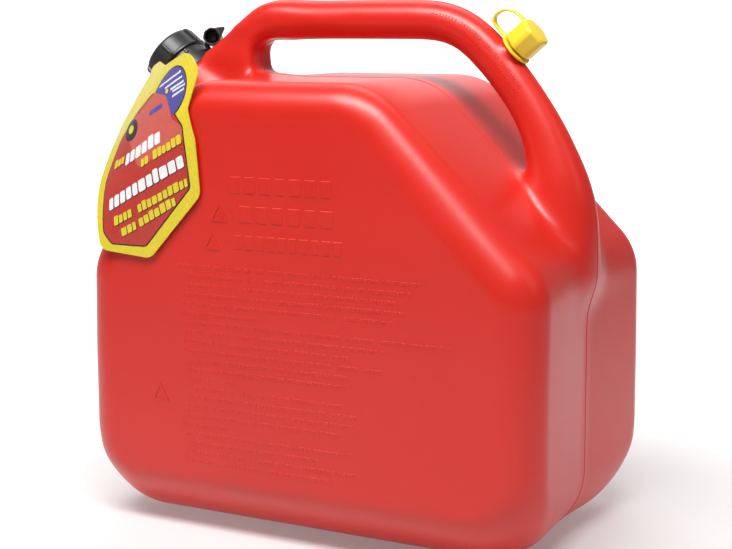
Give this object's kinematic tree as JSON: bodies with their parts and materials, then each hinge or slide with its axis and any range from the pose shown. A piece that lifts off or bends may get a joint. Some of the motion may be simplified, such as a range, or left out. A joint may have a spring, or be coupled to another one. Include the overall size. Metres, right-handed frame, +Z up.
{
  "type": "jerry can",
  "caption": "Blow-moulded fuel can with an integral hollow handle, a screw-capped tilted neck with a stored spout, a vent cap on a strap and a hang tag.",
  "frame": {"origin": "centre of the flat base, on the surface the can stands on", "axes": "+Z up, +X towards the vent end, -X towards the screw neck, +Y across the width, away from the tagged face"},
  "size_m": [0.3685, 0.227, 0.3797],
  "materials": {
    "tank": "satin red polyethylene",
    "black_plastic": "satin black polypropylene",
    "yellow_plastic": "smooth yellow polypropylene",
    "gasket": "matt rubber",
    "tag_card": "glossy printed card"
  },
  "bodies": {
    "tank": {"can_body": "tank"},
    "closure": {"stopper_disc": "yellow_plastic", "pour_spout": "yellow_plastic", "neck_gasket": "gasket"},
    "collar": {"screw_collar": "black_plastic"},
    "tether": {"tether_ring": "black_plastic", "tip_cap_strap": "black_plastic"},
    "tip_cap": {"tip_cap": "black_plastic"},
    "vent_ring": {"vent_ring": "yellow_plastic", "vent_strap": "yellow_plastic"},
    "vent_cap": {"vent_cap": "yellow_plastic"},
    "tag": {"hang_tag": "tag_card"}
  },
  "joints": [
    {"name": "closure_lift", "type": "slide", "parent": "tank", "child": "closure", "axis": [-0.7771, 0, 0.6293], "range_m": [0, 0.01275]},
    {"name": "collar_turn", "type": "hinge", "parent": "closure", "child": "collar", "pos_m": [-0.1533, 0, 0.3263], "axis": [-0.7771, 0, 0.6293], "range_deg": [0, 720]},
    {"name": "tether_turn", "type": "hinge", "parent": "tank", "child": "tether", "pos_m": [-0.1533, 0, 0.3263], "axis": [-0.7771, 0, 0.6293], "range_deg": [-45, 45]},
    {"name": "tip_cap_flex", "type": "hinge", "parent": "tether", "child": "tip_cap", "pos_m": [-0.13896, 0, 0.34814], "axis": [0, -1, 0], "range_deg": [0, 35]},
    {"name": "vent_ring_turn", "type": "hinge", "parent": "tank", "child": "vent_ring", "pos_m": [0.115, 0, 0.3436], "axis": [0.766, 0, 0.6428], "range_deg": [-80, 80]},
    {"name": "vent_cap_pull", "type": "slide", "parent": "vent_ring", "child": "vent_cap", "axis": [0.766, 0, 0.6428], "range_m": [0, 0.014]},
    {"name": "tag_swing", "type": "hinge", "parent": "tank", "child": "tag", "pos_m": [-0.1558, -0.045, 0.332], "axis": [-0.6293, 0, -0.7771], "range_deg": [0, 30]}
  ],
  "couplings": [
    {"joint": "closure_lift", "follows": "collar_turn", "m_per_rad": 0.0010106}
  ]
}
